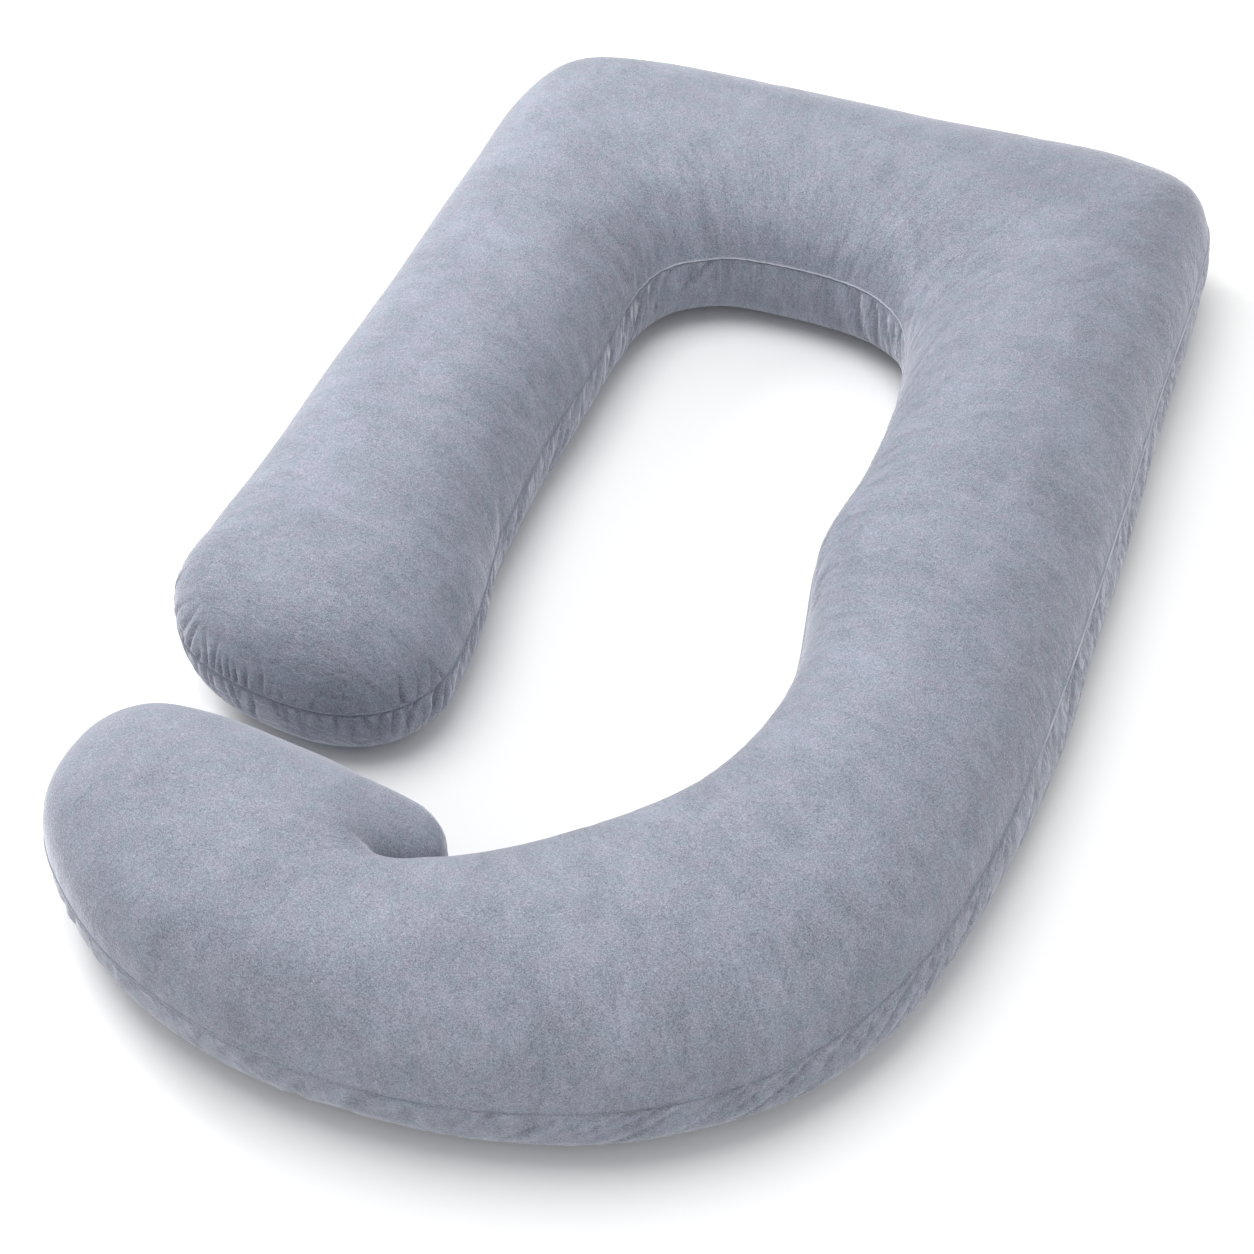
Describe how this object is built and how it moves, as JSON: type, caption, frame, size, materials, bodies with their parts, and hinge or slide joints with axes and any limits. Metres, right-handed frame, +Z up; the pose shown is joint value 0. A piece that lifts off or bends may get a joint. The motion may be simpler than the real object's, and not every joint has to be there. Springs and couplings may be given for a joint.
{
  "type": "body pillow",
  "caption": "Full-body pillow: one stuffed velvet tube bent like a letter G, flat underneath, to lie inside and hug with head, arms and legs.",
  "frame": {"origin": "middle of the rectangle that the pillow covers, on the plane that it lies on", "axes": "+X from the short arm to the long arm, +Y towards the head bar, +Z up out of the bed"},
  "size_m": [0.8366, 1.3932, 0.198],
  "materials": {
    "velvet": "short-pile grey-blue velvet, matt with a soft sheen where the pile is seen edge on"
  },
  "bodies": {
    "root": {"body_pillow": "velvet"}
  },
  "joints": []
}
